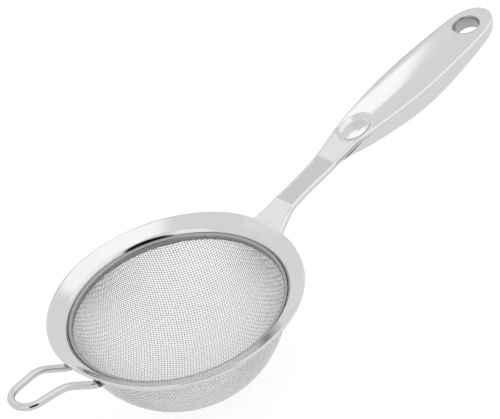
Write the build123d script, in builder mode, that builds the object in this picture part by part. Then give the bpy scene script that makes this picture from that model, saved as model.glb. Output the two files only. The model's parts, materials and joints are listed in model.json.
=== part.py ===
from build123d import *

import math
import os

# Tea strainer: a woven wire bowl in a dished rim, with a hollow handle and a wire rest loop.
# Millimetres. The origin is the centre of the rim's circle, level with the rim's outer top edge.
# +Z points up out of the mouth and +X along the handle, so the rest loop lies towards -X.

os.makedirs("parts", exist_ok=True)

# Rim: one pressed sheet, dished inwards and rolled down into a straight collar.
rim_radius = 42.0
rim_sheet = 0.8
rim_slope = 24.0  # degrees, rising outwards
rim_edge_round = 0.3
throat_radius = 35.5  # inside of the collar
throat_round = 1.5  # top radius where the dish turns down into the collar
collar_bottom = -6.6

# Woven cloth, and the ring that clamps its edge against the collar.
cloth_thickness = 0.5
cloth_top = -4.6
bowl_shoulder = -6.0  # the cloth leaves the collar here and the bowl begins
bowl_depth = 29.5
band_top = -3.9
band_bottom = -5.5
band_sheet = 0.6
band_round = 0.9
band_small_round = 0.05

# Rest loop: one bent wire, welded under the rim. Its places are distances from the rim's axis.
wire_radius = 1.25
loop_half_width = 7.0
loop_taper = 0.4  # the legs lean in by this much before the bend
loop_tip_half_width = 5.4
loop_root = 38.2
loop_edge = 41.6
loop_bend = 49.3
loop_tip = 64.8
loop_edge_height = -2.6
loop_bend_height = 4.2
loop_tip_height = 5.0
loop_edge_round = 8.0
loop_bend_round = 7.0
loop_tip_round = 5.5
weld_radius = 1.7
weld_sink = 0.25  # the bead's centre lies this far under the dish
weld_set_back = 0.6  # and this far in from the middle of the wire's joint

# Handle: a crowned top shell that runs on as the neck strap, with a tub welded under it.
shell_sheet = 1.6
crown_radius = 70.0
crown_half_width = 13.0  # half width of the blank before it is trimmed
strap_overlap = 3.0  # the blank starts this far inside the rim's edge
strap_start_height = -1.05
strap_bend = (52.0, 4.25)
strap_end = (68.0, 6.45)
grip_start = 84.0
grip_start_height = 10.6
grip_rise = 0.0945  # rise of the straight grip per millimetre along X
spine_radii = [9, 50, 50]
neck_end = 7.0  # half width where the strap meets the rim
neck_waist = 4.4
neck_waist_place = 60.0
handle_widest = 9.8
handle_end = 153.0
end_centre = 141.5  # the rounded end is most of a half ellipse about this point
end_width = 8.4
end_sweep = 78.0
tub_wall = 1.0
tub_start = 71.0
tub_start_half_width = 4.9
tub_tip_depth = 2.1
tub_round = 1.3
cavity_start = 78.0
cavity_start_half_width = 5.4
cavity_tip_depth = 3.3

# Thumb rest and hanging hole.
rest_centre = 86.7
rest_length = 11.5
rest_width = 9.8
rest_depth = 0.9
rest_flare = 0.6
rest_floor_inset = 0.8
hole_centre = 142.7
hole_radius = 4.4
sleeve_wall = 0.5
sleeve_lip = 0.15
sleeve_reach = 12.0

# Weld under the joint of strap and rim.
neck_weld_foot = 0.65
neck_weld_reach = 1.4
neck_weld_inset = 0.6

slope_rise = math.tan(math.radians(rim_slope))
rim_underside = rim_sheet / math.cos(math.radians(rim_slope))  # vertical thickness of the dish
collar_outside = throat_radius + rim_sheet
spine_end = handle_end + 4.0
end_length = handle_end - end_centre


def dish_height(radius):
    """Height of the dish's top surface at a distance from the rim's axis."""
    return (radius - rim_radius) * slope_rise


def grip_height(x):
    """Height of the side profile along the straight part of the grip."""
    return grip_start_height + (x - grip_start) * grip_rise


def grip_plane(x):
    """A plane lying on the grip's ridge line at x, with its own x axis along the grip."""
    return Plane(origin=(x, 0, grip_height(x)), x_dir=(1, 0, grip_rise), z_dir=(-grip_rise, 0, 1))


# Rim: its section runs down the outer edge, under the dish, down the collar and back over the top.
with BuildPart() as rim_flange:
    with BuildSketch(Plane.XZ):
        with BuildLine():
            FilletPolyline(
                (rim_radius, 0),
                (rim_radius, -rim_underside),
                (collar_outside, dish_height(collar_outside) - rim_underside),
                (collar_outside, collar_bottom),
                (throat_radius, collar_bottom),
                (throat_radius, dish_height(throat_radius)),
                radius=[
                    rim_edge_round,
                    rim_edge_round,
                    throat_round - rim_sheet,
                    rim_edge_round,
                    rim_edge_round,
                    throat_round,
                ],
                close=True,
            )
        make_face()
    revolve(axis=Axis.Z)
rim_flange.part.label = "rim_flange"
export_step(rim_flange.part, "parts/rim_flange.step")

# Cloth: a thin half ellipsoid with a short upright hem inside the collar.
cloth_inside = throat_radius - cloth_thickness
bowl_bottom = bowl_shoulder - bowl_depth
bowl_centre = (0, bowl_shoulder)
inner_depth = bowl_depth - cloth_thickness
with BuildPart() as mesh_bowl:
    with BuildSketch(Plane.XZ):
        with BuildLine():
            Line((throat_radius, cloth_top), (throat_radius, bowl_shoulder))
            EllipticalCenterArc(
                bowl_centre, throat_radius, bowl_depth, start_angle=270, arc_size=90
            )
            Line((0, bowl_bottom), (0, bowl_bottom + cloth_thickness))
            EllipticalCenterArc(
                bowl_centre, cloth_inside, inner_depth, start_angle=270, arc_size=90
            )
            Line((cloth_inside, bowl_shoulder), (cloth_inside, cloth_top))
            Line((cloth_inside, cloth_top), (throat_radius, cloth_top))
        make_face()
    revolve(axis=Axis.Z)
mesh_bowl.part.label = "mesh_bowl"
export_step(mesh_bowl.part, "parts/mesh_bowl.step")

# Retaining ring: an L section that covers the cloth's cut edge and presses the hem outwards.
band_inside = cloth_inside - band_sheet
lip_underside = cloth_top + band_small_round
with BuildPart() as mesh_retaining_band:
    with BuildSketch(Plane.XZ):
        with BuildLine():
            FilletPolyline(
                (throat_radius, band_top),
                (band_inside, band_top),
                (band_inside, band_bottom),
                (cloth_inside, band_bottom),
                (cloth_inside, lip_underside),
                (throat_radius, lip_underside),
                radius=[
                    band_small_round,
                    band_round,
                    band_sheet / 3,
                    band_sheet / 3,
                    band_small_round / 2,
                    band_small_round,
                ],
                close=True,
            )
        make_face()
    revolve(axis=Axis.Z)
mesh_retaining_band.part.label = "mesh_retaining_band"
export_step(mesh_retaining_band.part, "parts/mesh_retaining_band.step")

# Rest loop: the wire lies along the dish's underside, leaves the rim, bends and turns at the tip.
loop_root_height = loop_edge_height - (loop_edge - loop_root) * slope_rise
leg_points = [
    (-loop_root, loop_half_width, loop_root_height),
    (-loop_edge, loop_half_width, loop_edge_height),
    (-loop_bend, loop_half_width - loop_taper, loop_bend_height),
    (-loop_tip, loop_tip_half_width, loop_tip_height),
]
other_leg = [(x, -y, z) for x, y, z in reversed(leg_points)]
leg_radii = [loop_edge_round, loop_bend_round, loop_tip_round]
with BuildPart() as rest_loop:
    with BuildLine() as loop_path:
        FilletPolyline(*leg_points, *other_leg, radius=leg_radii + leg_radii[::-1])
    with BuildSketch(Plane(origin=loop_path.line @ 0, z_dir=loop_path.line % 0)):
        Circle(wire_radius)
    sweep(path=loop_path.line)
rest_loop.part.label = "rest_loop"
export_step(rest_loop.part, "parts/rest_loop.step")

# Loop welds: a bead of weld fills the corner between each leg of the loop and the dish.
weld_place = (loop_root + loop_edge) / 2 - weld_set_back
weld_height = dish_height(math.hypot(weld_place, loop_half_width)) - rim_underside - weld_sink
for side, name in ((1, "loop_weld_left"), (-1, "loop_weld_right")):
    with BuildPart() as loop_weld:
        with Locations((-weld_place, side * loop_half_width, weld_height)):
            Sphere(weld_radius)
        with BuildSketch(Plane.XZ):
            Polygon(
                (collar_outside, dish_height(collar_outside) - rim_underside),
                (rim_radius, -rim_underside),
                (rim_radius, collar_bottom),
                (collar_outside, collar_bottom),
                align=None,
            )
        revolve(axis=Axis.Z, mode=Mode.INTERSECT)
        add(rest_loop.part, mode=Mode.SUBTRACT)
    loop_weld.part.label = name
    export_step(loop_weld.part, f"parts/{name}.step")

# Handle outline, seen from above: half of it as points, in two stretches.
neck_outline = [
    (rim_radius - strap_overlap, neck_end + 1.0),
    (rim_radius + 0.6, neck_end - 0.4),
    (48.0, 5.05),
]
grip_outline = [
    (neck_waist_place, neck_waist),
    (tub_start, 4.95),
    (grip_start, 6.6),
    (100.0, 8.9),
    (114.0, handle_widest),
    (129.0, 9.45),
]

# Side profile: the strap climbs from the rim, eases off, then lifts into the straight grip.
spine_points = [
    (rim_radius - strap_overlap, strap_start_height),
    strap_bend,
    strap_end,
    (grip_start, grip_start_height),
    (spine_end, grip_height(spine_end)),
]


def side_height(x):
    """Height of the side profile's straight runs at x, without the bend radii."""
    for (x0, z0), (x1, z1) in zip(spine_points, spine_points[1:]):
        if x <= x1:
            return z0 + (z1 - z0) * (x - x0) / (x1 - x0)
    return grip_height(x)


def draw_outline(points, inset):
    """Draws the closed outline through half of its points and round the end of the handle."""
    turn = math.radians(end_sweep)
    long_radius = end_length - inset
    short_radius = end_width - inset
    join = (end_centre + long_radius * math.cos(turn), short_radius * math.sin(turn))
    leave = (points[1][0] - points[0][0], points[1][1] - points[0][1])
    arrive = (long_radius * math.sin(turn), -short_radius * math.cos(turn))
    half = Spline(*points, join, tangents=[leave, arrive])
    EllipticalCenterArc(
        (end_centre, 0),
        long_radius,
        short_radius,
        start_angle=-end_sweep,
        arc_size=2 * end_sweep,
    )
    mirror(half, about=Plane.XZ)
    Line(points[0], (points[0][0], -points[0][1]))


def draw_crowned_band(low, high):
    """Draws a wide crowned cross-section between two heights above the side profile."""
    crown_drop = crown_radius - math.sqrt(crown_radius**2 - crown_half_width**2)
    right_top = (crown_half_width, high - crown_drop)
    left_top = (-crown_half_width, high - crown_drop)
    right_foot = (crown_half_width, low - crown_drop)
    left_foot = (-crown_half_width, low - crown_drop)
    ThreePointArc(left_top, (0, high), right_top)
    Line(right_top, right_foot)
    ThreePointArc(right_foot, (0, low), left_foot)
    Line(left_foot, left_top)


# Top shell: a crowned sheet bent along the side profile and trimmed to the outline.
with BuildPart() as handle_top_shell:
    with BuildLine(Plane.XZ) as spine:
        FilletPolyline(*spine_points, radius=spine_radii)
    section_plane = Plane(origin=spine.line @ 0, x_dir=(0, 1, 0), z_dir=spine.line % 0)
    with BuildSketch(section_plane):
        with BuildLine():
            draw_crowned_band(-shell_sheet, 0)
        make_face()
    sweep(path=spine.line)
    with BuildSketch(Plane.XY.offset(-5)):
        with BuildLine():
            draw_outline(neck_outline + grip_outline, 0)
        make_face()
        Circle(rim_radius, mode=Mode.SUBTRACT)
    extrude(amount=40, mode=Mode.INTERSECT)
    # The thumb rest is a shallow oval dish in the front of the grip.
    with BuildSketch(grip_plane(rest_centre).offset(rest_flare)):
        Ellipse(rest_length / 2 + rest_flare, rest_width / 2 + rest_flare)
    with BuildSketch(grip_plane(rest_centre).offset(-rest_depth)):
        Ellipse(rest_length / 2 - rest_floor_inset, rest_width / 2 - rest_floor_inset)
    loft(mode=Mode.SUBTRACT)
    with BuildSketch(grip_plane(hole_centre).offset(shell_sheet)):
        Circle(hole_radius + sleeve_wall)
    extrude(amount=-3 * shell_sheet, mode=Mode.SUBTRACT)
handle_top_shell.part.label = "handle_top_shell"
export_step(handle_top_shell.part, "parts/handle_top_shell.step")

# Tub: it hangs under the shell, and these are depths of its keel below the side profile, along X.
keel_depths = [(82.0, 5.2), (96.0, 7.1), (112.0, 7.9), (130.0, 6.6), (156.0, 3.7)]

# Everything above the sheet's underside, to trim the tub against the top shell.
with BuildPart() as above_the_tub:
    with BuildSketch(section_plane):
        with BuildLine():
            draw_crowned_band(-shell_sheet, 5 * shell_sheet)
        make_face()
    sweep(path=spine.line)


def tub_block(inset, tip, edge_round):
    """The tub's form moved in by inset, from its tip onwards, cut by the keel below.

    The tip is its place along X, its half width and its depth below the side profile.
    """
    front, half_width, depth_there = tip
    outline = [(front, half_width)]
    outline += [(x, y - inset) for x, y in grip_outline if x > front + 1]
    keel = [(front, side_height(front) - depth_there)]
    keel += [(x, side_height(x) - depth + inset) for x, depth in keel_depths]
    back = keel[-1][0]
    above = 2.5 * shell_sheet
    with BuildPart() as block:
        with BuildSketch(Plane.XY):
            with BuildLine():
                draw_outline(outline, inset)
            make_face()
        extrude(amount=30)
        with BuildSketch(Plane.XZ):
            with BuildLine():
                Spline(*keel)
                Polyline(
                    keel[0],
                    (front, side_height(front) + above),
                    (back, side_height(back) + above),
                    keel[-1],
                )
            make_face()
        extrude(amount=2 * handle_widest, both=True, mode=Mode.INTERSECT)
        long_low_edges = [
            edge
            for edge in block.edges()
            if edge.center().Z < side_height(edge.center().X) - 2.5 and edge.length > 15
        ]
        fillet(long_low_edges, edge_round)
        add(above_the_tub.part, mode=Mode.SUBTRACT)
    return block.part


tub_tip = (tub_start, tub_start_half_width, tub_tip_depth)
cavity_tip = (cavity_start, cavity_start_half_width - tub_wall, cavity_tip_depth - tub_wall)
tub_outside = tub_block(0, tub_tip, tub_round)
tub_cavity = tub_block(tub_wall, cavity_tip, tub_round - tub_wall)
with BuildPart() as handle_lower_shell:
    add(tub_outside)
    add(tub_cavity, mode=Mode.SUBTRACT)
    with BuildSketch(grip_plane(hole_centre).offset(shell_sheet)):
        Circle(hole_radius + sleeve_wall)
    extrude(amount=-sleeve_reach, mode=Mode.SUBTRACT)
handle_lower_shell.part.label = "handle_lower_shell"
export_step(handle_lower_shell.part, "parts/handle_lower_shell.step")

# Sleeve: a tube lines the hanging hole, cut off level with the tub's floor.
(before_x, before_depth), (after_x, after_depth) = keel_depths[-2:]
floor_slope = grip_rise + (before_depth - after_depth) / (after_x - before_x)
hole_depth = before_depth + (after_depth - before_depth) * (hole_centre - before_x) / (
    after_x - before_x
)
floor_plane = Plane(
    origin=(hole_centre, 0, side_height(hole_centre) - hole_depth - sleeve_lip),
    x_dir=(1, 0, floor_slope),
    z_dir=(-floor_slope, 0, 1),
)
with BuildPart() as hang_hole_sleeve:
    with BuildSketch(grip_plane(hole_centre).offset(sleeve_lip)):
        Circle(hole_radius + sleeve_wall)
        Circle(hole_radius, mode=Mode.SUBTRACT)
    extrude(amount=-sleeve_reach)
    split(bisect_by=floor_plane, keep=Keep.TOP)
hang_hole_sleeve.part.label = "hang_hole_sleeve"
export_step(hang_hole_sleeve.part, "parts/hang_hole_sleeve.step")

# Neck weld: a bead along the rim's edge, under the joint where the strap butts against it.
neck_weld_angle = math.degrees(math.asin((neck_end - neck_weld_inset) / rim_radius))
with BuildPart() as neck_weld:
    with BuildSketch(Plane.XZ.rotated((0, 0, -neck_weld_angle))):
        Polygon(
            (rim_radius, -rim_underside),
            (rim_radius, -rim_underside - neck_weld_foot),
            (rim_radius - neck_weld_reach, dish_height(rim_radius - neck_weld_reach) - rim_underside),
            align=None,
        )
    revolve(axis=Axis.Z, revolution_arc=2 * neck_weld_angle)
neck_weld.part.label = "neck_weld"
export_step(neck_weld.part, "parts/neck_weld.step")
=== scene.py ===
import json
import math

import bmesh
import bpy
import numpy as np
from mathutils import Matrix, Vector


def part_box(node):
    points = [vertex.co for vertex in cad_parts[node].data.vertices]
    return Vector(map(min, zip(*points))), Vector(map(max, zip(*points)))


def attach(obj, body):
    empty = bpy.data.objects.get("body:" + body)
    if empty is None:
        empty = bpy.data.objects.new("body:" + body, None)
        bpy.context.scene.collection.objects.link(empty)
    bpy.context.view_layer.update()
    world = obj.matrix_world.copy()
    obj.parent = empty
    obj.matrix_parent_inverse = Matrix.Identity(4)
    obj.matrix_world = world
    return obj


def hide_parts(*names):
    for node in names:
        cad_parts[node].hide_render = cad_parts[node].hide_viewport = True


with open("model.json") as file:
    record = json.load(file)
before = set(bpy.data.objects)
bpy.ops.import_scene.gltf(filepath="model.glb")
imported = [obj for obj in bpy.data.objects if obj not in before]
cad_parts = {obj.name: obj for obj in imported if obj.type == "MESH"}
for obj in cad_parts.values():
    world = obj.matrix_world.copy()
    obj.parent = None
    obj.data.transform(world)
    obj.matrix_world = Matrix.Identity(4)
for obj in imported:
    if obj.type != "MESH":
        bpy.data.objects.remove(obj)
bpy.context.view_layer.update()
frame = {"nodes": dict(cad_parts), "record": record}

# Lengths below are in millimetres in the CAD frame, and MM turns them into Blender's metres.
MM = 0.001


def node_box(node):
    """Lowest and highest corner of a CAD node, in millimetres."""
    low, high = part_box(node)
    return np.array(low) / MM, np.array(high) / MM


# ---------------------------------------------------------------- sizes from the frame

rim_low, rim_high = node_box("rim_flange")
bowl_low, bowl_high = node_box("mesh_bowl")
band_low, band_high = node_box("mesh_retaining_band")
_, grip_high = node_box("handle_top_shell")

rim_radius = rim_high[0]
collar_bottom = rim_low[2]
throat_radius = bowl_high[0]
bowl_bottom = bowl_low[2]
handle_end = grip_high[0]


# ---------------------------------------------------------------- mesh helpers

side_hint = (0.31, 0.17, 0.94)  # a direction that no tube below starts along
curve_step = 0.05  # spacing of the points on the handle's curves
dense_step = 0.02  # spacing at which those curves are first worked out


def add_mesh(name, points, faces):
    """Makes a smooth-shaded mesh piece from points in millimetres, and lets it ride on the root."""
    mesh = bpy.data.meshes.new(name)
    mesh.from_pydata((np.asarray(points) * MM).tolist(), [], [tuple(f) for f in faces])
    mesh.shade_smooth()
    mesh.validate()
    shape = bmesh.new()
    shape.from_mesh(mesh)
    bmesh.ops.recalc_face_normals(shape, faces=shape.faces)
    shape.to_mesh(mesh)
    shape.free()
    piece = bpy.data.objects.new(name, mesh)
    bpy.context.scene.collection.objects.link(piece)
    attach(piece, "root")
    return piece


def finish_piece(piece, slot, *nodes):
    """Gives a piece the material of a slot, and hides the CAD nodes that it stands for."""
    piece.data.materials.append(materials[slot])
    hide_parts(*nodes)


def unit(vectors):
    """The vectors at length one."""
    return vectors / np.linalg.norm(vectors, axis=-1, keepdims=True)


def ease(value, start, end):
    """Smooth step from 0 at start to 1 at end."""
    share = np.clip((np.asarray(value, float) - start) / (end - start), 0, 1)
    return share * share * (3 - 2 * share)


def tube_rings(line, radius, sides):
    """Rings of points round a polyline, with no twist from one ring to the next."""
    angles = np.arange(sides) * 2 * math.pi / sides
    tangents = unit(np.gradient(line, axis=0))
    side = unit(np.cross(tangents[0], side_hint))
    rings = []
    for point, tangent in zip(line, tangents):
        side = side - tangent * (side @ tangent)
        side = side / np.linalg.norm(side)
        other = np.cross(tangent, side)
        rings.append(point + radius * (np.outer(np.cos(angles), side) + np.outer(np.sin(angles), other)))
    return rings


def tube_mesh(lines, radius, sides):
    """Points and faces of round tubes with closed ends along several polylines."""
    all_points = []
    all_faces = []
    start = 0
    for line in lines:
        all_points.extend(tube_rings(line, radius, sides))
        count = len(line)
        ring = np.arange(count - 1)[:, None] * sides + start
        corner = np.arange(sides)[None, :]
        following = (corner + 1) % sides
        quads = np.stack(
            [ring + corner, ring + following, ring + sides + following, ring + sides + corner], axis=-1
        )
        all_faces.extend(quads.reshape(-1, 4).tolist())
        last = start + (count - 1) * sides
        all_faces.append(list(range(start + sides - 1, start - 1, -1)))
        all_faces.append(list(range(last, last + sides)))
        start += count * sides
    return np.concatenate(all_points), all_faces


def ring_quads(sections, size):
    """Faces between closed sections with size points each, which stand in a closed circle."""
    here = np.arange(sections)[:, None] * size + np.arange(size)[None, :]
    onwards = np.roll(here, -1, axis=0)
    faces = np.stack([here, onwards, np.roll(onwards, -1, axis=1), np.roll(here, -1, axis=1)], axis=-1)
    return faces.reshape(-1, 4).tolist()


def revolve_mesh(section, segments, warp=None):
    """Points and faces of a closed section, given as radius and height pairs, turned about Z."""
    angles = np.arange(segments) * 2 * math.pi / segments
    section = np.asarray(section)
    radii = section[None, :, 0].repeat(segments, axis=0)
    if warp is not None:
        radii = radii + warp(angles[:, None], radii)
    around = np.stack([np.cos(angles), np.sin(angles)], axis=1)[:, None, :] * radii[..., None]
    heights = section[None, :, 1:].repeat(segments, axis=0)
    points = np.concatenate([around, heights], axis=2).reshape(-1, 3)
    return points, ring_quads(segments, len(section))


def arc(centre, radius, start, end, count):
    """Points along an arc in a plane, between two angles in degrees."""
    angles = np.radians(np.linspace(start, end, count))
    return [(centre[0] + radius * math.cos(a), centre[1] + radius * math.sin(a)) for a in angles]


def fillet_path(points, radii, pieces):
    """A polyline whose inner corners are rounded with the given radii, in pieces steps each."""
    points = [np.array(p, float) for p in points]
    path = [points[0]]
    for before, corner, after, radius in zip(points, points[1:], points[2:], radii):
        back = unit(before - corner)
        ahead = unit(after - corner)
        half = math.acos(float(np.clip(back @ ahead, -1, 1))) / 2
        centre = corner + unit(back + ahead) * radius / math.sin(half)
        start = corner + back * radius / math.tan(half) - centre
        end = corner + ahead * radius / math.tan(half) - centre
        turn = math.pi - 2 * half
        for step in range(pieces + 1):
            share = step / pieces
            swing = math.sin((1 - share) * turn) * start + math.sin(share * turn) * end
            path.append(centre + swing / math.sin(turn))
    path.append(points[-1])
    return np.array(path)


def curve_slopes(points, chords, leave, arrive):
    """Slopes at the points that make a cubic curve smooth, with set directions at both ends."""
    count = len(points)
    matrix = np.eye(count)
    right_side = np.zeros_like(points)
    right_side[0] = unit(np.array(leave, float))
    right_side[-1] = unit(np.array(arrive, float))
    for i in range(1, count - 1):
        before, after = chords[i - 1], chords[i]
        matrix[i, i - 1 : i + 2] = after, 2 * (before + after), before
        rise = after / before * (points[i] - points[i - 1]) + before / after * (points[i + 1] - points[i])
        right_side[i] = 3 * rise
    return np.linalg.solve(matrix, right_side)


def smooth_curve(points, leave, arrive):
    """Evenly spaced points on a smooth curve through the given ones, with set end directions."""
    points = np.array(points, float)
    chords = np.linalg.norm(np.diff(points, axis=0), axis=1)
    slopes = curve_slopes(points, chords, leave, arrive)
    curve = []
    for i, chord in enumerate(chords):
        t = np.linspace(0, 1, max(4, int(chord / dense_step)))[:-1, None]
        curve.append(
            (2 * t**3 - 3 * t**2 + 1) * points[i]
            + (t**3 - 2 * t**2 + t) * chord * slopes[i]
            + (3 * t**2 - 2 * t**3) * points[i + 1]
            + (t**3 - t**2) * chord * slopes[i + 1]
        )
    return respace(np.concatenate(curve + [points[-1:]]), curve_step)


def respace(curve, spacing):
    """The polyline with evenly spaced points."""
    along = np.concatenate([[0], np.cumsum(np.linalg.norm(np.diff(curve, axis=0), axis=1))])
    places = np.linspace(0, along[-1], int(round(along[-1] / spacing)) + 1)
    return np.stack([np.interp(places, along, curve[:, k]) for k in range(curve.shape[1])], axis=1)


# ---------------------------------------------------------------- rim and band

rim_slope = 24.0
rim_sheet = 0.8
rim_drop = rim_sheet / math.cos(math.radians(rim_slope))
slope_rise = math.tan(math.radians(rim_slope))
throat_round = 3.2
crease_tilt = 34.0  # the throat's round starts this steep, so a faint crease bounds the dish
collar_outside = throat_radius + rim_sheet
rim_edge_round = 0.3
edge_drop = 1.08  # the edge's round lies this many radii low, so that it runs into the slope
lower_edge_lift = 0.7  # in the same radii, how high the edge's lower round lies above the sheet
underside_end = rim_radius - 0.5
dish_shares = (0.12, 0.3, 0.5, 0.7, 0.88, 0.985)  # points between the edge and the crease
rim_segments = 540

# The pressed rim is out of round: a bulge's height, and its middle and width in degrees. It bulges
# by the handle, which is at 0 degrees, and is flat by the loop.
rim_bulges = [(0.45, 20, 18), (-0.3, 80, 22), (-1.15, 192, 26), (-0.35, 335, 20)]
warp_start = throat_radius + 1.2

band_inside = throat_radius - 1.1
band_top = band_high[2] + 0.5
band_bottom = band_low[2]
band_sheet = 0.6
band_top_round = 0.8
band_lip = [(0.12, 0.0), (0.1, 0.5)]  # how far outside the throat, and how far below the top
band_wall_start = 0.65  # the outer wall starts this far below the top
band_wall_end = 0.2  # and ends this far above the bottom
band_segments = 360


def dish_height(radius):
    """Height of the dish's top surface."""
    return (radius - rim_radius) * slope_rise


def rim_warp(angles, radii):
    """How far the rim bulges outwards: the throat stays round, and the edge bulges most."""
    degrees = np.degrees(angles)
    offset = 0.0
    for height, middle, width in rim_bulges:
        away = (degrees - middle + 180) % 360 - 180
        offset = offset + height * np.exp(-((away / width) ** 2))
    return offset * ease(radii, warp_start, rim_radius)


def rim_section():
    """Closed section of the rim: over the dish, down the collar, and back along the underside."""
    edge = rim_edge_round
    crease_radius = throat_radius + throat_round * (1 - math.sin(math.radians(crease_tilt)))
    wall_top = dish_height(crease_radius) - throat_round * math.cos(math.radians(crease_tilt))
    section = arc((rim_radius - edge, -edge * edge_drop), edge, 0, 90 + rim_slope, 6)
    outer_end = np.array(section[-1])
    crease = np.array([crease_radius, dish_height(crease_radius)])
    for share in dish_shares:
        section.append(tuple(outer_end + (crease - outer_end) * share))
    section += arc((throat_radius + throat_round, wall_top), throat_round, 90 + crease_tilt, 180, 26)
    section += arc((throat_radius + edge, collar_bottom + edge), edge, 180, 270, 5)
    section += arc((collar_outside - edge, collar_bottom + edge), edge, 270, 360, 5)
    inner_round = throat_round - rim_sheet
    section += arc((collar_outside + inner_round, wall_top), inner_round, 180, 90 + rim_slope, 12)
    section.append((underside_end, dish_height(underside_end) - rim_drop))
    section += arc((rim_radius - edge, -rim_drop + edge * lower_edge_lift), edge, 290, 360, 5)
    return section


def make_rim():
    """The dished rim with its collar."""
    rim = add_mesh("rim_dish", *revolve_mesh(rim_section(), rim_segments, rim_warp))
    rim.data.materials.append(materials["rim_steel"])
    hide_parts("rim_flange")


def make_band():
    """The satin band inside the rim, whose rounded top reaches a little into the collar."""
    outside = band_inside + band_sheet
    foot = band_sheet / 2
    top_centre = (band_inside + band_top_round, band_top - band_top_round)
    section = arc(top_centre, band_top_round, 180, 90, 9)
    section += [(throat_radius + out, band_top - down) for out, down in band_lip]
    section += [(outside, band_top - band_wall_start), (outside, band_bottom + band_wall_end)]
    section += arc((band_inside + foot, band_bottom + foot), foot, 360, 180, 9)
    band = add_mesh("mesh_band", *revolve_mesh(section, band_segments))
    finish_piece(band, "satin_band", "mesh_retaining_band")


# ---------------------------------------------------------------- rest loop

wire_radius = 1.25
wire_sides = 28
wire_step = 0.3
# Corners of one leg, from its end under the dish to the loop's tip, and the bends at the corners.
loop_leg = [
    (-38.2, 7.0, -3.3),
    (-41.0, 7.0, -2.0),
    (-50.2, 6.7, 4.6),
    (-64.8, 5.1, 5.15),
]
loop_bends = [6.0, 11.0, 5.6]


def make_rest_loop():
    """The bent wire of the rest loop, with its two cut ends under the dish."""
    other_leg = [(x, -y, z) for x, y, z in reversed(loop_leg)]
    path = fillet_path(loop_leg + other_leg, loop_bends + loop_bends[::-1], 16)
    loop = add_mesh("rest_loop_wire", *tube_mesh([respace(path, wire_step)], wire_radius, wire_sides))
    finish_piece(loop, "bright_wire", "rest_loop")


# ---------------------------------------------------------------- handle

# The ridge line of the handle from the side, as X and Z of its corners and their rounding.
spine_points = [(39.0, -1.05), (50.0, 3.5), (69.8, 6.7), (84.0, 10.6), (117.0, 14.19), (157.0, 17.4985)]
spine_radii = [8.0, 35.0, 50.0, 1900.0]
grip_rise = 0.0827  # slope of the grip's end, which the hanging hole is square to
crown_radius = 70.0
strap_seat = 41.3  # the strap's top flows out of the dish from this radius
strap_blend = 6.5  # and has become the crowned sheet this much further out
seat_rise = 0.1  # the strap starts this far above the dish

# Half of the outline seen from above, as X and Y, and the ellipse that ends it.
outline_points = [
    (39.0, 8.0),
    (42.6, 6.6),
    (48.0, 5.05),
    (60.0, 4.4),
    (71.0, 4.95),
    (84.0, 6.6),
    (100.0, 8.9),
    (114.0, 9.8),
    (129.0, 9.45),
]
end_centre = 141.5
end_length = handle_end - end_centre
end_width = 8.4
end_sweep = 78.0
outline_start = rim_radius - 3

shell_sheet = 1.6
shell_edge_round = 1.0
shell_lower_round = 0.15
shell_columns = 57
edge_thinning = 0.45  # the sheet looks this much thinner along the grip than along the strap
thinning_start = 64.0
thinning_end = 76.0

mesh_step = 0.32
rings_start = 128.0  # from here to the tip the mesh runs round the hanging hole
ring_count = 14
bow_length = 8.0  # the rows lose the rim's curve over this length
least_fit = 0.05  # where the sheet is thin, its rounds shrink down to this share
fit_margin = 1.15

hole_centre = np.array([142.7, 0.0])
hole_outside = 4.9
hole_radius = 4.4
shell_hole_gap = 0.12
shell_hole_round = 0.12
tub_hole_gap = 0.05
tub_hole_round = 0.02

rest_centre = 85.8
rest_aside = -0.3
rest_half_length = 6.7
rest_half_width = 5.5
rest_wall_depth = 0.9
rest_floor_depth = 0.45
rest_floor_edge = 0.68

tub_start = 72.0
tub_inset = 0.1
tub_round = 1.3
tub_top_round = 0.3
tub_columns = 41
keel_depths = [
    (tub_start, 1.7),
    (76.0, 2.95),
    (82.0, 5.2),
    (96.0, 7.4),
    (112.0, 8.4),
    (130.0, 7.1),
    (156.0, 3.7),
]
keel_curve = 0.006  # how the floor rises with the square of the distance from its middle
tub_least_depth = 0.25
seam_overlap = 0.02
seam_gap = 0.55  # the seam behind the tub's tip is open this far
seam_opening = (73.5, 76.5)
seam_closing = (77.0, 85.0)

neck_bead_radius = 0.45
neck_bead_sides = 16
neck_bead_span = 7.0  # degrees to each side
neck_bead_offset = 0.1  # its middle lies this far outside the rim and above the strap's underside

sleeve_sides = 144
sleeve_gap = 0.02
sleeve_chamfer = 0.1

spine = respace(fillet_path(spine_points, spine_radii, 60), curve_step)


def spine_height(x):
    """Height of the handle's ridge line."""
    return np.interp(x, spine[:, 0], spine[:, 1])


def crown_drop(y):
    """How far the crowned sheet lies below its ridge."""
    return crown_radius - np.sqrt(crown_radius**2 - np.asarray(y) ** 2)


def thumb_rest_depth(x, y):
    """Depth of the thumb rest, a pressed recess: a sloping wall round a gently hollow floor."""
    reach = np.hypot((x - rest_centre) / rest_half_length, (y - rest_aside) / rest_half_width)
    reach = np.minimum(reach, 1)
    wall = rest_wall_depth * (1 - ease(reach, rest_floor_edge, 1))
    return wall + rest_floor_depth * (1 - reach**2) ** 2


def shell_top(x, y):
    """Height of the handle's top surface: the dish's slope first, then the crowned sheet."""
    radius = np.hypot(x, y)
    sheet = spine_height(x) - crown_drop(y)
    seat = dish_height(radius) + seat_rise
    blend = ease(radius, strap_seat, strap_seat + strap_blend)
    return seat + (sheet - seat) * blend - thumb_rest_depth(x, y)


def shell_bottom(x, y):
    """Height of the underside of the top shell."""
    return shell_top(x, y) - shell_sheet + edge_thinning * ease(x, thinning_start, thinning_end)


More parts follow.
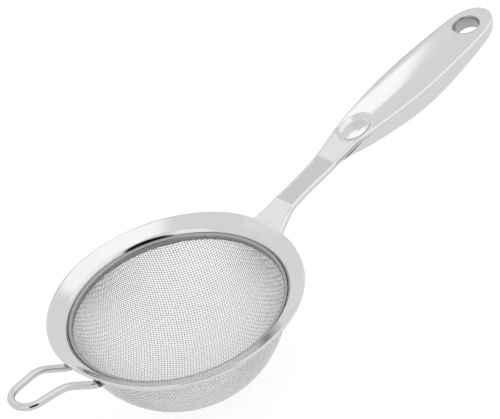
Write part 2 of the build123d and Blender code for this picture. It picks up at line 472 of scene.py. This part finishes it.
def handle_outline(first_x):
    """Half of the handle's outline from first_x to the tip, as a dense polyline."""
    turn = math.radians(end_sweep)
    join = (end_centre + end_length * math.cos(turn), end_width * math.sin(turn))
    arrive = (end_length * math.sin(turn), -end_width * math.cos(turn))
    leave = np.subtract(outline_points[1], outline_points[0])
    side = smooth_curve(outline_points + [join], leave, arrive)
    angles = np.linspace(turn, 0, 400)[1:]
    end = np.stack([end_centre + end_length * np.cos(angles), end_width * np.sin(angles)], axis=1)
    half = np.concatenate([side, end])
    return half[half[:, 0] >= first_x]


def inward_normals(line):
    """Unit normals of the outline that point to the handle's middle line."""
    along = unit(np.gradient(line, axis=0))
    return np.stack([along[:, 1], -along[:, 0]], axis=1)


class Plate:
    """A plan view mesh of the handle: rows across it, then rings round the hanging hole."""

    def __init__(self, half, inset, columns, hole, seat=None):
        self.inset = inset
        self.points = []
        self.trace_outline(half)
        inner = self.outline + self.normals * inset
        self.lay_rows(inner[: self.row_count], columns, seat, half[0, 0])
        ends = self.add(inner[self.row_count : len(inner) - self.row_count])
        self.edge = np.concatenate([self.rows[:, 0], ends, self.rows[::-1, -1]])
        last = self.rows[-1]
        self.lay_rings(np.array([last[0], *ends, last[-1], *last[-2:0:-1]]), hole)
        self.plan = np.concatenate(self.points)

    def trace_outline(self, half):
        """The whole outline with its normals, from one half: along one side and back on the other."""
        split = int(np.searchsorted(half[:, 0], rings_start))
        side = respace(half[: split + 1], mesh_step)
        end = respace(half[split:], mesh_step)
        line = np.concatenate([side, end[1:]])
        normals = inward_normals(line)
        normals[-1] = (-1, 0)
        mirror = np.array([1.0, -1.0])
        self.row_count = len(side)
        self.outline = np.concatenate([line, line[-2::-1] * mirror])
        self.normals = np.concatenate([normals, normals[-2::-1] * mirror])

    def lay_rows(self, starts, columns, seat, first_x):
        """Straight rows across the handle. With a seat radius, the first ones follow the rim."""
        spread = np.linspace(1, -1, columns)
        rows = []
        for x, y in starts:
            across = y * spread
            ahead = np.full(columns, x)
            if seat:
                bow = np.sqrt(seat**2 - across**2) - math.sqrt(seat**2 - y**2)
                ahead = ahead + bow * (1 - float(ease(x, first_x, first_x + bow_length)))
            rows.append(self.add(np.stack([ahead, across], axis=1)))
        self.rows = np.array(rows)

    def lay_rings(self, loop, hole):
        """Rings from the last row and the end of the outline down to the hanging hole."""
        outer = np.concatenate(self.points)[loop]
        inner = hole_centre + unit(outer - hole_centre) * hole
        self.rings = [loop]
        for ring in range(1, ring_count + 1):
            self.rings.append(self.add(outer + (inner - outer) * (ring / ring_count)))

    def add(self, points):
        """Adds points to the plan and returns their numbers."""
        start = sum(len(p) for p in self.points)
        self.points.append(points)
        return np.arange(start, start + len(points))

    def faces(self, offset, flip):
        """Quads of the whole plan, between the rows and between the rings."""
        rows = self.rows
        grids = [np.stack([rows[1:, :-1], rows[1:, 1:], rows[:-1, 1:], rows[:-1, :-1]], axis=-1)]
        for outside, inside in zip(self.rings, self.rings[1:]):
            grids.append(np.stack([outside, np.roll(outside, -1), np.roll(inside, -1), inside], axis=-1))
        faces = np.concatenate([grid.reshape(-1, 4) for grid in grids]) + offset
        return (faces[:, ::-1] if flip else faces).tolist()


class PlateSolid:
    """A closed solid over a plate's plan, between two height functions."""

    def __init__(self, plate, top, bottom):
        x, y = plate.plan[:, 0], plate.plan[:, 1]
        self.plate = plate
        self.top = top
        self.bottom = bottom
        self.points = [np.stack([x, y, top(x, y)], axis=1), np.stack([x, y, bottom(x, y)], axis=1)]
        self.below = len(x)  # a point of the bottom face has its top point's number plus this
        self.total = 2 * len(x)
        self.faces = plate.faces(0, False) + plate.faces(self.below, True)

    def heights(self, line):
        """Heights of the top and bottom faces at points of the plan."""
        return self.top(line[:, 0], line[:, 1]), self.bottom(line[:, 0], line[:, 1])

    def ring(self, plan, height):
        """Adds a ring of points and returns their numbers."""
        self.points.append(np.column_stack([plan, height]))
        self.total += len(plan)
        return np.arange(self.total - len(plan), self.total)

    def join(self, rings, closed):
        """Adds the quads between each ring and the next."""
        for above, below in zip(rings, rings[1:]):
            quads = np.stack([above, np.roll(above, -1), np.roll(below, -1), below], axis=-1)
            self.faces += (quads if closed else quads[:-1]).tolist()

    def wall(self, top_round, bottom_round):
        """The outer wall with a rounded edge above and below, and the flat front end."""
        plate = self.plate
        high, low = self.heights(plate.outline + plate.normals * plate.inset)
        fit = np.clip((high - low) / (fit_margin * (top_round + bottom_round)), least_fit, 1)
        rings = [plate.edge]
        for angle in np.radians(np.linspace(15, 90, 6)):
            side = plate.outline + plate.normals * (plate.inset * (1 - math.sin(angle)))
            rings.append(self.ring(side, high - fit * top_round * (1 - math.cos(angle))))
        for angle in np.radians(np.linspace(90, 0, 7)[:-1]):
            side = plate.outline + plate.normals * (bottom_round * (1 - math.sin(angle)))
            rings.append(self.ring(side, low + fit * bottom_round * (1 - math.cos(angle))))
        if bottom_round < plate.inset:
            rings.append(self.ring(plate.outline + plate.normals * bottom_round, low))
        rings.append(plate.edge + self.below)
        self.join(rings, closed=False)
        front = [*plate.rows[0][::-1], *(ring[0] for ring in rings[1:-1])]
        front += [*(plate.rows[0] + self.below), *(ring[-1] for ring in rings[-2:0:-1])]
        self.faces.append([int(v) for v in front])

    def hole(self, lip):
        """The wall of the hanging hole, which is square to the grip, with a rounded upper lip."""
        last = self.plate.rings[-1]
        edge = self.plate.plan[last]
        outwards = unit(edge - hole_centre)
        high, low = self.heights(edge)
        rings = [last]
        for angle in np.radians(np.linspace(0, 90, 6)[1:]):
            drop = lip * (1 - math.cos(angle))
            side = edge - outwards * lip * math.sin(angle)
            side[:, 0] += grip_rise * drop
            rings.append(self.ring(side, high - drop))
        side = edge - outwards * lip
        side[:, 0] += grip_rise * (high - low)
        rings.append(self.ring(side, low))
        rings.append(last + self.below)
        self.join(rings, closed=True)

    def make(self, name):
        """The finished mesh piece."""
        return add_mesh(name, np.concatenate(self.points), self.faces)


def keel_line():
    """The tub's keel from the side: a smooth line through its depths below the ridge's corners."""
    corners = np.array(spine_points)
    line = [(place, np.interp(place, corners[:, 0], corners[:, 1]) - depth) for place, depth in keel_depths]
    first, last = np.array(line[:2]), np.array(line[-2:])
    return smooth_curve(line, first[1] - first[0], last[1] - last[0])


keel = keel_line()


def tub_top(x, y):
    """Height of the tub's upper edge: close under the shell, except for a gap behind its tip."""
    open_seam = seam_gap * ease(x, *seam_opening) * (1 - ease(x, *seam_closing))
    return shell_bottom(x, y) + seam_overlap - open_seam


def tub_bottom(x, y):
    """Height of the tub's floor, which is slightly rounded across."""
    height = np.interp(x, keel[:, 0], keel[:, 1])
    deep = np.minimum(height, tub_top(x, 0 * y) - tub_least_depth)
    return deep + keel_curve * np.asarray(y) ** 2


def make_top_shell():
    """The crowned sheet that runs from the rim as a strap and widens into the grip."""
    half = handle_outline(outline_start)
    half = half[np.argmax(np.hypot(half[:, 0], half[:, 1]) > strap_seat) :]
    plate = Plate(half, shell_edge_round, shell_columns, hole_outside + shell_hole_gap, strap_seat)
    solid = PlateSolid(plate, shell_top, shell_bottom)
    solid.wall(shell_edge_round, shell_lower_round)
    solid.hole(shell_hole_round)
    finish_piece(solid.make("handle_shell"), "polished_steel", "handle_top_shell")


def make_neck_weld():
    """A short bead under the joint between the strap and the rim."""
    angles = np.radians(np.linspace(-neck_bead_span, neck_bead_span, 15))
    reach = rim_radius + neck_bead_offset
    height = np.full(len(angles), shell_bottom(reach, 0.0) + neck_bead_offset)
    line = np.stack([reach * np.cos(angles), reach * np.sin(angles), height], axis=1)
    bead = add_mesh("neck_weld_bead", *tube_mesh([line], neck_bead_radius, neck_bead_sides))
    # the bead's near-black weld colour is painted shade under the strap's joint
    finish_piece(bead, "weld_steel", "neck_weld")


def make_tub():
    """The lower half of the handle, welded under the shell, as one closed form."""
    half = handle_outline(tub_start)
    half = half + inward_normals(half) * tub_inset
    half[-1, 1] = 0.0
    solid = PlateSolid(Plate(half, tub_round, tub_columns, hole_outside + tub_hole_gap), tub_top, tub_bottom)
    solid.wall(tub_top_round, tub_round)
    solid.hole(tub_hole_round)
    finish_piece(solid.make("handle_tub"), "polished_steel", "handle_lower_shell")


def sleeve_section(outside):
    """Closed section of the sleeve, whose upper lip curls over into the shell. Each point has a
    radius, its share of the way from the shell's top to the tub's floor, and an extra depth."""
    section = [(outside, 0.98, 0.0), (outside, 0.3, 0.0), (outside, 0.0, sleeve_gap)]
    curl = outside - hole_radius
    for angle in np.radians(np.linspace(10, 90, 8)):
        section.append((outside - curl * math.sin(angle), 0.0, curl * (1 - math.cos(angle))))
    section += [(hole_radius, 0.5, 0.0), (hole_radius, 0.97, 0.0)]
    return section + [(hole_radius + sleeve_chamfer, 1.0, 0.0), (outside - sleeve_chamfer, 1.0, 0.0)]


def make_sleeve():
    """The tube that lines the hanging hole, square to the grip."""
    outside = hole_outside - sleeve_gap
    section = sleeve_section(outside)
    tilt = math.hypot(1, grip_rise)
    ahead = np.array([1, 0, grip_rise]) / tilt
    across = np.array([0.0, 1.0, 0.0])
    down = -np.array([-grip_rise, 0, 1]) / tilt
    top_centre = np.array([hole_centre[0], 0, spine_height(hole_centre[0])])
    points = []
    for angle in np.arange(sleeve_sides) * 2 * math.pi / sleeve_sides:
        spoke = math.cos(angle) * ahead + math.sin(angle) * across
        x, y, _ = top_centre + spoke * outside
        top = crown_drop(y)
        floor = (spine_height(x) - tub_bottom(x, y)) / tilt
        for radius, share, extra in section:
            points.append(top_centre + spoke * radius + down * (top + (floor - top) * share + extra))
    sleeve = add_mesh("hanging_hole_sleeve", points, ring_quads(sleeve_sides, len(section)))
    # the sleeve's darker steel is painted shade for the inside of the hanging hole
    sleeve.data.materials.append(materials["sleeve_steel_painted_shade"])
    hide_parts("hang_hole_sleeve")


# ---------------------------------------------------------------- woven wire cloth

cloth_half_depth = 0.29
cloth_radius = throat_radius - cloth_half_depth
shoulder = -6.0
cloth_depth = shoulder - bowl_bottom - cloth_half_depth
hem_top = band_low[2] + 0.5
weave_wire_radius = 0.14
weave_wire_sides = 6
weft_step = 0.80  # spacing of the cross wires, measured along the long wires
warp_step = 0.95
weave_centre = (4.0, -6.5)  # the cloth's untwisted centre sits a little off the bowl's axis
warp_azimuth = 45.0
weft_azimuth = 138.0
net_steps = 74  # how far the net is followed from its centre, each way
net_reach = 3.0  # and no further than this far above the rim's plane
fewest_knots = 4

fold_width = 5.6
fold_slant = math.tan(math.radians(28))
fold_depth = 0.5
fold_middle = -27.0  # the folds lie round this azimuth, towards the handle
fold_half_span = 30.0
fold_start = 1.2  # they are full this far below the band
fold_fade = (2.5, 6.5)  # and fade between these depths

slimming = np.array([0.032, 0.032, 0.0])  # share by which the cloth is drawn in at half depth
sideways = np.array([-0.33, 0.23, 0.0])  # and how far it lies aside there


def bowl_slope(points):
    """Gradient of the bowl's implicit surface, an ellipsoid below the shoulder and a tube above."""
    below = np.minimum(points[..., 2] - shoulder, 0)
    return np.stack(
        [
            2 * points[..., 0] / cloth_radius**2,
            2 * points[..., 1] / cloth_radius**2,
            2 * below / cloth_depth**2,
        ],
        axis=-1,
    )


def bowl_miss(points):
    """How far the points are off the bowl's implicit surface."""
    below = np.minimum(points[..., 2] - shoulder, 0)
    radius_squared = points[..., 0] ** 2 + points[..., 1] ** 2
    return radius_squared / cloth_radius**2 + below**2 / cloth_depth**2 - 1


def onto_bowl(points):
    """Moves points onto the bowl's surface."""
    for _ in range(6):
        slope = bowl_slope(points)
        points = points - slope * (bowl_miss(points) / np.sum(slope**2, axis=-1))[..., None]
    return points


def straightest_line(start, azimuth, step):
    """Steps along the bowl's surface from start without turning left or right."""
    heading = np.array([math.cos(math.radians(azimuth)), math.sin(math.radians(azimuth)), 0.0])
    points = [start]
    for _ in range(net_steps):
        here = points[-1]
        normal = unit(bowl_slope(here))
        heading = unit(heading - normal * (heading @ normal))
        there = here + heading * step
        for _ in range(5):
            there = onto_bowl(there)
            there = here + unit(there - here) * step
        points.append(onto_bowl(there))
        heading = unit(points[-1] - here)
    return np.array(points)


def next_knots(beside_warp, beside_weft, behind):
    """The knots of the net that lie one step from two known neighbours, on the bowl."""
    points = beside_warp + beside_weft - behind
    for _ in range(8):
        to_warp = points - beside_warp
        to_weft = points - beside_weft
        matrix = np.stack([2 * to_warp, 2 * to_weft, bowl_slope(points)], axis=-2)
        miss = np.stack(
            [
                np.sum(to_warp**2, axis=-1) - weft_step**2,
                np.sum(to_weft**2, axis=-1) - warp_step**2,
                bowl_miss(points),
            ],
            axis=-1,
        )
        points = points - np.linalg.solve(matrix, miss[..., None])[..., 0]
    return points


def quarter_net(warp_line, weft_line):
    """The quarter of the net between two of its middle lines, filled in one diagonal at a time."""
    part = np.full((net_steps + 1, net_steps + 1, 3), np.nan)
    part[:, 0] = warp_line
    part[0, :] = weft_line
    for total in range(2, 2 * net_steps + 1):
        i = np.arange(max(1, total - net_steps), min(net_steps, total - 1) + 1)
        j = total - i
        beside_warp, beside_weft, behind = part[i - 1, j], part[i, j - 1], part[i - 1, j - 1]
        known = np.isfinite(beside_warp + beside_weft + behind).all(axis=-1)
        known &= (beside_warp[:, 2] < net_reach) & (beside_weft[:, 2] < net_reach)
        if known.any():
            knots = next_knots(beside_warp[known], beside_weft[known], behind[known])
            part[i[known], j[known]] = knots
    return part


def weave_net():
    """Knots of square cloth pressed into the bowl: each mesh keeps its sides and only shears."""
    net = np.full((2 * net_steps + 1, 2 * net_steps + 1, 3), np.nan)
    start = onto_bowl(np.array([*weave_centre, bowl_bottom]))
    for along in (1, -1):
        warp_line = straightest_line(start, warp_azimuth + 90 - 90 * along, weft_step)
        for across in (1, -1):
            weft_line = straightest_line(start, weft_azimuth + 90 - 90 * across, warp_step)
            rows = net_steps + along * np.arange(net_steps + 1)
            columns = net_steps + across * np.arange(net_steps + 1)
            net[np.ix_(rows, columns)] = quarter_net(warp_line, weft_line)
    return net


def pleat(points):
    """Pushes the cloth into short slanting folds under the band."""
    angle = np.degrees(np.arctan2(points[..., 1], points[..., 0]))
    spread = np.clip(1 - ((angle - fold_middle) / fold_half_span) ** 4, 0, 1)
    below_band = band_low[2] - points[..., 2]
    depth = ease(below_band, 0, fold_start) * (1 - ease(below_band, *fold_fade))
    along = -np.radians(angle) * throat_radius + below_band / fold_slant
    wave = 0.5 - 0.5 * np.cos(2 * math.pi * along / fold_width)
    inward = fold_depth * spread * depth * wave**2
    outward = unit(points * np.array([1.0, 1.0, 0.0]))
    return points - outward * inward[..., None]


def settle(points):
    """Draws the cloth in at half depth, where it is slimmer than an ellipsoid, and a little aside."""
    drop = (shoulder - points[..., 2]) / (shoulder - bowl_bottom)
    amount = np.clip(4 * drop * (1 - drop), 0, 1)[..., None]
    return points * (1 - amount * slimming) + amount * sideways


def waved_line(knots, lift):
    """A wire through the knots, raised off the bowl by lift at each of them."""
    line = np.empty((2 * len(knots) - 1, 3))
    line[0::2] = knots
    line[1::2] = onto_bowl((knots[1:] + knots[:-1]) / 2)
    raised = np.zeros(len(line))
    raised[0::2] = lift
    line = line + unit(bowl_slope(line)) * raised[:, None]
    return settle(pleat(line))


def wire_lines(net, parity):
    """Polylines of the wires along the net's first index, waving over and under the others."""
    lines = []
    for column in range(net.shape[1]):
        knots = net[:, column]
        inside = np.isfinite(knots).all(axis=-1)
        inside[inside] &= knots[inside][:, 2] < hem_top
        places = np.flatnonzero(inside)
        for run in np.split(places, np.flatnonzero(np.diff(places) > 1) + 1):
            if len(run) >= fewest_knots:
                over = np.where((run + column + parity) % 2 == 0, 1.0, -1.0) * weave_wire_radius
                lines.append(waved_line(knots[run], over))
    return lines


def make_cloth():
    """The two sets of wires of the cloth, as separate pieces."""
    net = weave_net()
    crossed = np.swapaxes(net, 0, 1)
    for name, lines in (
        ("cloth_warp_wires", wire_lines(net, 0)),
        ("cloth_weft_wires", wire_lines(crossed, 1)),
    ):
        wires = add_mesh(name, *tube_mesh(lines, weave_wire_radius, weave_wire_sides))
        finish_piece(wires, "woven_wire", "mesh_bowl")


# ---------------------------------------------------------------- materials

# Each metal: colour, roughness, how much that varies, and the fineness and strength of its grain.
metals = {
    "rim_steel": ((0.594, 0.60, 0.611), 0.10, 0.03, 90.0, 0.03),
    "polished_steel": ((0.594, 0.60, 0.611), 0.09, 0.03, 90.0, 0.03),
    "satin_band": ((0.346, 0.35, 0.356), 0.42, 0.08, 700.0, 0.5),
    "woven_wire": ((0.674, 0.68, 0.692), 0.20, 0.05, 400.0, 0.1),
    "bright_wire": ((0.535, 0.54, 0.55), 0.12, 0.04, 200.0, 0.05),
    # painted shade: the sleeve's steel is made darker than the other steel to stand for the shade inside the
    # hanging hole
    "sleeve_steel_painted_shade": ((0.36, 0.36, 0.365), 0.3, 0.08, 300.0, 0.1),
    # painted shade: the welds are real, but their near-black colour stands for the dark reflection and
    # shadow at the loop's roots and under the strap's joint
    "weld_steel": ((0.10, 0.10, 0.105), 0.45, 0.1, 900.0, 0.6),
}
grain_detail = 4.0
grain_height = 0.1 * MM


def metal(name, colour, roughness, unevenness, scale, bump):
    """Metal whose gloss varies softly, with a faint waviness in its surface."""
    material = bpy.data.materials.new(name)
    material.use_nodes = True
    nodes = material.node_tree.nodes
    links = material.node_tree.links
    shader = nodes["Principled BSDF"]
    shader.inputs["Base Color"].default_value = (*colour, 1.0)
    shader.inputs["Metallic"].default_value = 1.0
    place = nodes.new("ShaderNodeTexCoord")
    noise = nodes.new("ShaderNodeTexNoise")
    noise.inputs["Scale"].default_value = scale
    noise.inputs["Detail"].default_value = grain_detail
    links.new(place.outputs["Object"], noise.inputs["Vector"])
    gloss = nodes.new("ShaderNodeMapRange")
    gloss.inputs["To Min"].default_value = roughness - unevenness
    gloss.inputs["To Max"].default_value = roughness + unevenness
    links.new(noise.outputs["Fac"], gloss.inputs["Value"])
    links.new(gloss.outputs["Result"], shader.inputs["Roughness"])
    relief = nodes.new("ShaderNodeBump")
    relief.inputs["Strength"].default_value = bump
    relief.inputs["Distance"].default_value = grain_height
    links.new(noise.outputs["Fac"], relief.inputs["Height"])
    links.new(relief.outputs["Normal"], shader.inputs["Normal"])
    return material


materials = {name: metal(name, *look) for name, look in metals.items()}


def dress_cad_nodes():
    """Gives every CAD node the material of its slot: the two loop welds stay visible."""
    for entry in frame["record"]["subparts"]:
        node = frame["nodes"][entry["node"]]
        node.data.materials.clear()
        # the loop welds' near-black colour is painted shade at the loop's roots
        node.data.materials.append(materials[entry["material_slot"]])
        node.data.shade_smooth()


# ---------------------------------------------------------------- studio

camera_aim = np.array([31.4, -7.6, 16.5])
camera_distance = 693.0
camera_place = (-124.38, 36.71)
camera_tilt = 15.45
camera_lens = 158.4
floor_size = 4.0  # in metres, like the camera's clipping
floor_gap = 0.2
floor_grey = 0.32
floor_glow = 0.74
tent_level = 1.07
least_depth = 0.02  # a panel is seen only this far in front of its own plane

# Panels on the tent: azimuth and elevation of the middle, half width and half height as slopes from
# it, softness of the edge (for an oval, as a share of its size), brightness, turn in degrees, and
# whether the panel is an oval.
panels = [
    ((89.6, 49.1), 0.168, 0.139, 0.015, 1.27, -3.0, False),  # behind, lights the strap's root
    ((64.3, 38.2), 0.100, 0.108, 0.008, 1.58, 3.0, False),  # behind, lights the grip
    ((62.0, 17.0), 0.18, 0.21, 0.03, 0.85, 0.0, False),  # low behind, a little darker than the tent
    ((70.0, 47.4), 0.080, 0.134, 0.010, 0.95, 6.0, False),  # behind, a little darker than the tent
    ((-30.7, 65.3), 0.37, 0.45, 0.07, 1.53, 28.0, False),  # overhead
    ((-38.2, 45.3), 0.56, 0.435, 0.25, 1.37, -15.0, True),  # right of the camera
    ((-159.0, 32.8), 0.283, 0.517, 0.26, 1.32, -7.0, True),  # left of the camera
    ((-113.5, 18.0), 0.42, 0.74, 0.15, 0.01, -17.0, True),  # the dark opening by the camera
]


def aim_axes(back, up_hint):
    """Right and up directions of something that faces along back."""
    right = unit(np.cross(up_hint, back))
    return right, np.cross(back, right)


def turned(right, up, degrees):
    """The two directions turned in their plane."""
    turn = math.radians(degrees)
    return right * math.cos(turn) + up * math.sin(turn), up * math.cos(turn) - right * math.sin(turn)


def direction(azimuth, elevation):
    """Unit vector at an azimuth from +X and an elevation above the horizon, in degrees."""
    a, e = math.radians(azimuth), math.radians(elevation)
    return np.array([math.cos(a) * math.cos(e), math.sin(a) * math.cos(e), math.sin(e)])


def add_camera():
    """The camera: its place round the aim point, and its tilt about the line of sight."""
    back = direction(*camera_place)
    right, up = turned(*aim_axes(back, np.array([0.0, 0.0, 1.0])), -camera_tilt)
    data = bpy.data.cameras.new("camera")
    data.sensor_width = 36.0
    data.lens = camera_lens
    data.clip_start = 0.05
    data.clip_end = 50.0
    camera = bpy.data.objects.new("camera", data)
    bpy.context.scene.collection.objects.link(camera)
    place = (camera_aim + back * camera_distance) * MM
    axes = Matrix([list(right), list(up), list(back)]).transposed().to_4x4()
    camera.matrix_world = Matrix.Translation(Vector(place)) @ axes
    bpy.context.scene.camera = camera


def add_floor():
    """A pale light table: it glows softly, so little shadow lies on it."""
    height = (bowl_bottom - floor_gap) * MM
    mesh = bpy.data.meshes.new("floor")
    corners = [(floor_size * x, floor_size * y, height) for x, y in ((-1, -1), (1, -1), (1, 1), (-1, 1))]
    mesh.from_pydata(corners, [], [(0, 1, 2, 3)])
    floor = bpy.data.objects.new("floor", mesh)
    bpy.context.scene.collection.objects.link(floor)
    material = bpy.data.materials.new("floor")
    material.use_nodes = True
    shader = material.node_tree.nodes["Principled BSDF"]
    shader.inputs["Base Color"].default_value = (floor_grey, floor_grey, floor_grey, 1.0)
    shader.inputs["Roughness"].default_value = 0.9
    shader.inputs["Specular IOR Level"].default_value = 0.0
    shader.inputs["Emission Color"].default_value = (1.0, 1.0, 1.0, 1.0)
    shader.inputs["Emission Strength"].default_value = floor_glow
    mesh.materials.append(material)


class Sky:
    """Builds the studio's surroundings: an even tent with brighter and darker soft panels."""

    def __init__(self, level):
        world = bpy.data.worlds.new("studio")
        bpy.context.scene.world = world
        world.use_nodes = True
        self.nodes = world.node_tree.nodes
        self.links = world.node_tree.links
        self.nodes.clear()
        output = self.nodes.new("ShaderNodeOutputWorld")
        self.background = self.nodes.new("ShaderNodeBackground")
        self.background.inputs["Color"].default_value = (1.0, 1.0, 1.0, 1.0)
        self.links.new(self.background.outputs[0], output.inputs["Surface"])
        self.look = self.nodes.new("ShaderNodeTexCoord").outputs["Generated"]
        self.value = level

    def calculate(self, operation, *values):
        """A math node's result from numbers and other nodes' results."""
        node = self.nodes.new("ShaderNodeMath")
        node.operation = operation
        for socket, value in zip(node.inputs, values):
            if isinstance(value, (int, float)):
                socket.default_value = value
            else:
                self.links.new(value, socket)
        return node.outputs[0]

    def along(self, axis):
        """How far the looking direction goes along an axis."""
        node = self.nodes.new("ShaderNodeVectorMath")
        node.operation = "DOT_PRODUCT"
        self.links.new(self.look, node.inputs[0])
        node.inputs[1].default_value = Vector(axis)
        return node.outputs["Value"]

    def fade(self, value, middle, softness):
        """1 well below middle and 0 well above it, with a soft step between."""
        node = self.nodes.new("ShaderNodeMapRange")
        node.interpolation_type = "SMOOTHSTEP"
        self.links.new(value, node.inputs["Value"])
        node.inputs["From Min"].default_value = middle + softness
        node.inputs["From Max"].default_value = middle - softness
        return node.outputs["Result"]

    def oval(self, wide, high, half_width, half_height, softness):
        """Mask of an oval panel."""
        wide = self.calculate("DIVIDE", wide, half_width)
        high = self.calculate("POWER", self.calculate("DIVIDE", high, half_height), 2.0)
        span = self.calculate("SQRT", self.calculate("MULTIPLY_ADD", wide, wide, high))
        return self.fade(span, 1.0, softness)

    def oblong(self, wide, high, half_width, half_height, softness):
        """Mask of an oblong panel."""
        beside = self.fade(wide, half_width, softness)
        return self.calculate("MULTIPLY", beside, self.fade(high, half_height, softness))

    def panel(self, middle, half_width, half_height, softness, level, turn, rounded):
        """Blends the surroundings towards level inside a panel seen in the given direction."""
        back = direction(*middle)
        right, up = turned(*aim_axes(back, np.array([0.0, 0.0, 1.0])), turn)
        depth = self.along(back)
        in_front = self.calculate("GREATER_THAN", depth, least_depth)
        depth = self.calculate("MAXIMUM", depth, least_depth)
        wide = self.calculate("ABSOLUTE", self.calculate("DIVIDE", self.along(right), depth))
        high = self.calculate("ABSOLUTE", self.calculate("DIVIDE", self.along(up), depth))
        shape = self.oval if rounded else self.oblong
        mask = self.calculate("MULTIPLY", shape(wide, high, half_width, half_height, softness), in_front)
        change = self.calculate("SUBTRACT", level, self.value)
        self.value = self.calculate("MULTIPLY_ADD", mask, change, self.value)

    def finish(self):
        """Lets the background shine with the result."""
        self.links.new(self.value, self.background.inputs["Strength"])


def add_surroundings():
    """Soft studio light: a pale tent with soft panels and a dark opening by the camera."""
    sky = Sky(tent_level)
    for panel in panels:
        sky.panel(*panel)
    sky.finish()
    bpy.context.scene.view_settings.view_transform = "Standard"


# ---------------------------------------------------------------- assembly

add_camera()
add_floor()
add_surroundings()
dress_cad_nodes()
make_rim()
make_band()
make_rest_loop()
make_top_shell()
make_neck_weld()
make_tub()
make_sleeve()
make_cloth()
